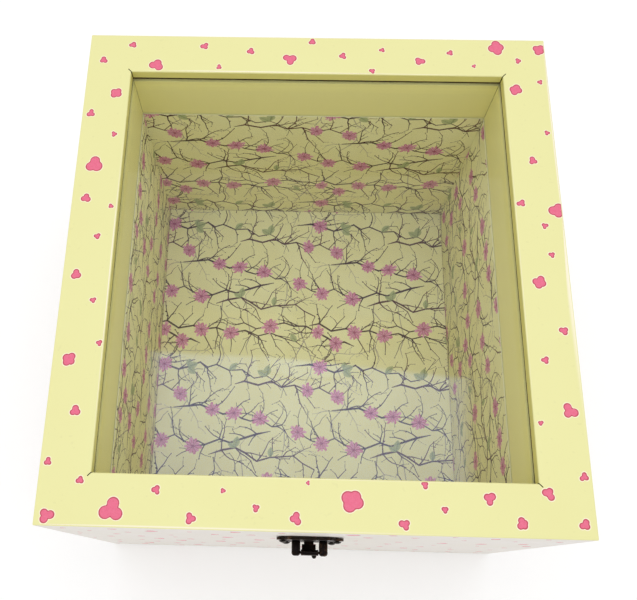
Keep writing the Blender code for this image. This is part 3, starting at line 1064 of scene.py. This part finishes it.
def shapesOver(design, low, high, offset):
    # every copy of every ink shape that touches this part of the endless print
    repeat = design.settings["repeat"]
    found = []
    for outline, colour, strength in design.shapes:
        xs = [point.x + offset[0] for point in outline]
        ys = [point.y + offset[1] for point in outline]
        firstX, lastX = math.ceil((low[0] - max(xs)) / repeat), math.floor((high[0] - min(xs)) / repeat)
        firstY, lastY = math.ceil((low[1] - max(ys)) / repeat), math.floor((high[1] - min(ys)) / repeat)
        for stepX in range(firstX, lastX + 1):
            for stepY in range(firstY, lastY + 1):
                move = Vector((offset[0] + stepX * repeat, offset[1] + stepY * repeat))
                found.append(([point + move for point in outline], colour, strength))
    return found


def inkOfTriangles(places, triangles, shapes):
    # the colour and strength of the ink at the middle of each triangle
    spots = np.array([(place.x, place.y) for place in places])
    middles = spots[np.array(triangles)].mean(axis=1)
    order = np.argsort(middles[:, 0])
    sortedX = middles[order, 0]
    inks = np.zeros((len(triangles), 4))
    for outline, colour, strength in shapes:
        corners = np.array([(point.x, point.y) for point in outline])
        first, last = np.searchsorted(sortedX, (corners[:, 0].min(), corners[:, 0].max()))
        near = order[first:last]
        y = middles[near, 1]
        near = near[(y > corners[:, 1].min()) & (y < corners[:, 1].max())]
        if not len(near):
            continue
        covered = near[insideOf(middles[near], corners, np.roll(corners, -1, axis=0))]
        under = inks[covered, 3:] * (1 - strength)
        total = strength + under
        inks[covered, :3] = (np.array(colour) * strength + inks[covered, :3] * under) / total
        inks[covered, 3:] = total
    return [tuple(ink) for ink in inks]


def printedSheet(name, low, high, offset, design, place, inward):
    # a flat sheet from low to high in its own plane; place(u, v) puts a point in the box
    shapes = shapesOver(design, low, high, offset)
    corners = (low[0], low[1]), (high[0], low[1]), (high[0], high[1]), (low[0], high[1])
    points = [Vector(corner) for corner in corners]
    edges = [(0, 1), (1, 2), (2, 3), (3, 0)]
    for outline, _, _ in shapes:
        first = len(points)
        points += outline
        edges += [(first + i, first + (i + 1) % len(outline)) for i in range(len(outline))]
    places, _, triangles, _, _, _ = geometry.delaunay_2d_cdt(points, edges, [], 0, 2e-6)
    inks = inkOfTriangles(places, triangles, shapes)
    mesh = bmesh.new()
    ink = mesh.loops.layers.float_color.new("ink")
    inside = [all(low[i] - 1e-6 <= p[i] <= high[i] + 1e-6 for i in (0, 1)) for p in places]
    verts = {}
    for triangle, colourAndStrength in zip(triangles, inks):
        if not all(inside[index] for index in triangle):
            continue
        corners = []
        for index in triangle:
            if index not in verts:
                verts[index] = mesh.verts.new(place(places[index].x, places[index].y))
            corners.append(verts[index])
        face = mesh.faces.new(corners)
        face.normal_update()
        if face.normal.dot(inward) < 0:
            face.normal_flip()
        for loop in face.loops:
            loop[ink] = colourAndStrength
    closeSheet(mesh, -inward, printSettings["floorSheet" if inward.z else "wallSheet"])
    return pieceFrom(mesh, name)


def closeSheet(mesh, backward, thickness):
    # gives the sheet its thickness: a thin edge all round and a plain back
    rim = [e for e in mesh.edges if len(e.link_faces) == 1]
    behind = {}
    for e in rim:
        for vert in e.verts:
            if vert not in behind:
                behind[vert] = mesh.verts.new(vert.co + backward * thickness)
    follow = {}
    for e in rim:
        loop = e.link_loops[0]
        start, end = loop.vert, loop.link_loop_next.vert
        side = mesh.faces.new((end, start, behind[start], behind[end]))
        side.material_index = 1
        follow[end] = start
    first = next(iter(follow))
    ring = [first]
    while follow[ring[-1]] != first:
        ring.append(follow[ring[-1]])
    back = mesh.faces.new([behind[vert] for vert in ring])
    back.material_index = 1


def makePaper():
    material, tree, shader = newMaterial("printedPaper")
    place = objectPlace(tree)
    inkNode = attributeNode(tree, "ink")
    patches = noiseNode(tree, place, 38, 4, 0.6)
    fibres = noiseNode(tree, place, 1800, 2, 0.6)
    warmShare = stepBetween(tree, patches, 0.3, 0.7)
    ground = mixColour(tree, warmShare, printSettings["paper"], printSettings["paperWarm"])
    coreShare = stepBetween(tree, fibres, 0.45, 0.75, 0.0, 0.22)
    ground = mixColour(tree, coreShare, ground, printSettings["paperCore"])
    worn = stepBetween(tree, noiseNode(tree, place, 2600, 2, 0.6), 0.30, 0.46, 0.78, 1.0)
    cover = mathNode(tree, "MULTIPLY", inkNode.outputs["Alpha"], worn)
    colour = mixColour(tree, cover, ground, inkNode.outputs["Color"])
    roughness = stepBetween(tree, fibres, 0.2, 0.8, 0.62, 0.82)
    shader.inputs["Specular IOR Level"].default_value = 0.12
    waves = noiseNode(tree, place, 34, 3, 0.5)
    height = mathNode(tree, "MULTIPLY_ADD", waves, 6.0, fibres)
    finishWith(tree, shader, colour, roughness, height, 0.00005, 0.6)
    return material


def makePaperEdge():
    material, tree, shader = newMaterial("paperEdge")
    place = objectPlace(tree)
    fibres = noiseNode(tree, place, 1500, 3, 0.6)
    colour = mixColour(tree, fibres, printSettings["paperCore"], printSettings["paperCut"])
    roughness = stepBetween(tree, fibres, 0.2, 0.8, 0.8, 0.95)
    finishWith(tree, shader, colour, roughness, fibres, 0.00004, 0.5)
    return material


def buildPrints():
    design = PrintDesign(printSettings)
    design.draw()
    paper, paperEdge = makePaper(), makePaperEdge()
    for name, node, axis, side, offset in (
        ("printFloor", "lining_floor", 2, -1, (0.004, 0.012)),
        ("printBack", "lining_back", 1, 1, (0.004, 0.058)),
        ("printFront", "lining_front", 1, -1, (0.050, 0.030)),
        ("printLeft", "lining_left", 0, -1, (0.031, 0.020)),
        ("printRight", "lining_right", 0, 1, (0.083, 0.077)),
    ):
        low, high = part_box(node)
        level = low[axis] if side > 0 else high[axis]
        across, up = [index for index in range(3) if index != axis]

        def place(u, v):
            spot = Vector((level, level, level))
            spot[across], spot[up] = u, v
            return spot

        inward = Vector((0, 0, 0))
        inward[axis] = -side
        span = (low[across], low[up]), (high[across], high[up])
        piece = printedSheet(name, *span, offset, design, place, inward)
        piece.data.materials.append(paper)
        piece.data.materials.append(paperEdge)
        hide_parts(node)
        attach(piece, "box")
        print(piece.name, "has", len(piece.data.polygons), "faces")


def makeGlass():
    material, tree, shader = newMaterial("clearGlass")
    feedAll(tree, shader, {
        "Base Color": (0.965, 0.985, 0.975), "Roughness": 0.0, "IOR": 1.5, "Transmission Weight": 1.0,
    })
    return material


def makeBareBoard():
    material, tree, shader = newMaterial("bareBoard")
    place = objectPlace(tree)
    grain = noiseNode(tree, stretched(tree, place, (9, 160, 160)), 1.0, 6, 0.62, 0.6)
    fleck = noiseNode(tree, stretched(tree, place, (120, 1500, 1500)), 1.0, 3, 0.6)
    colour = mixColour(tree, stepBetween(tree, grain, 0.3, 0.7), (0.60, 0.46, 0.29), (0.42, 0.29, 0.16))
    colour = mixColour(tree, stepBetween(tree, fleck, 0.55, 0.75, 0.0, 0.5), colour, (0.26, 0.17, 0.09))
    roughness = stepBetween(tree, grain, 0.2, 0.8, 0.62, 0.8)
    height = mathNode(tree, "MULTIPLY_ADD", fleck, 0.5, grain)
    finishWith(tree, shader, colour, roughness, height, 0.00012, 0.7)
    return material


metalSettings = {
    "bronze": ((0.055, 0.042, 0.038), (0.210, 0.115, 0.070), 0.36),
    "brass": ((0.330, 0.230, 0.110), (0.520, 0.400, 0.210), 0.34),
    "steel": ((0.070, 0.060, 0.052), (0.250, 0.220, 0.190), 0.32),
}


def makeMetal(name, dark, worn, roughness):
    material, tree, shader = newMaterial(name)
    place = objectPlace(tree)
    wear = useGroup(tree, metalWear, Place=place, Grain=1400.0)
    colour = mixColour(tree, mathNode(tree, "MULTIPLY", wear.outputs["Worn"], 0.75), dark, worn)
    grimeShare = mathNode(tree, "MULTIPLY", wear.outputs["Grime"], 0.35)
    colour = mixColour(tree, grimeShare, colour, tuple(channel * 0.45 for channel in dark))
    shader.inputs["Metallic"].default_value = 1.0
    uneven = mathNode(tree, "MULTIPLY_ADD", wear.outputs["Grime"], 0.22, roughness)
    finishWith(tree, shader, colour, uneven, wear.outputs["Height"], 0.00008, 0.5)
    return material


def refineMetal(node, name, material, slot, rounding, body):
    # a merged copy of a CAD part with its edges eased, which then stands for it
    data = nodes[node].data.copy()
    piece = bpy.data.objects.new(name, data)
    bpy.context.scene.collection.objects.link(piece)
    near = {"threshold": 0.000002}
    merge = (bpy.ops.mesh.remove_doubles, near)
    flatten = (bpy.ops.mesh.dissolve_limited, {"angle_limit": math.radians(0.6)})
    editWhole(piece, merge, flatten)
    roundEdges(piece, rounding)
    editWhole(piece, merge, (bpy.ops.mesh.dissolve_degenerate, near))
    smoothByAngle(piece)
    evenNormals(piece)
    piece.data.materials.clear()
    piece.data.materials.append(material)
    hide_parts(node)
    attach(piece, body)


def buildMetal():
    bronze = makeMetal("antiqueBronze", *metalSettings["bronze"])
    brass = makeMetal("agedBrass", *metalSettings["brass"])
    steel = makeMetal("darkSteel", *metalSettings["steel"])
    finishes = {
        "latch": (bronze, "antique_bronze", 0.00022),
        "hinge": (brass, "hinge_brass", 0.00018),
        "screw": (steel, "screw_steel", 0.00012),
    }
    carriers = {"latch_hook": "hook", "latch_pin": "lid", "latch_lid_plate": "lid"}
    for node in sorted(nodes):
        kind = node.split("_")[0]
        if kind not in finishes:
            continue
        if "screw" in node:
            kind = "screw"
        body = carriers.get(node, "lid" if "_lid_" in node else "box")
        refineMetal(node, camelName(node), *finishes[kind], body)


def camelName(node):
    words = node.split("_")
    return words[0] + "".join(word.capitalize() for word in words[1:])


def dressKept():
    glass = makeGlass()
    pane = nodes["glass_pane"]
    pane.data.materials.clear()
    pane.data.materials.append(glass)
    pane.visible_shadow = False
    pane.visible_diffuse = False  # soft light comes through it as it does through the real pane
    board = makeBareBoard()
    nodes["floor_panel"].data.materials.clear()
    nodes["floor_panel"].data.materials.append(board)


bpy.context.scene.view_settings.view_transform = "Standard"
addCamera()
addLights()
addFloor()
cardSoftness = lightSettings["cardSoftness"]
addCard("studioCard", cardMarks, lightSettings["cardStrength"], cardSoftness)
addCard("studioCardBack", backCardMarks, lightSettings["backCardStrength"], cardSoftness)
addCard("studioLamp", lampMarks, lightSettings["lampStrength"], lightSettings["lampSoftness"])
print("camera, light and floor set")
rng = random.Random(7)
buildLid(rng)
buildGlassSealAndShade(random.Random(11))
print("lid painted")
buildBody(rng)
print("body painted")
buildPrints()
print("paper printed")
buildMetal()
print("metal refined")
dressKept()
print("glass and floor board dressed")
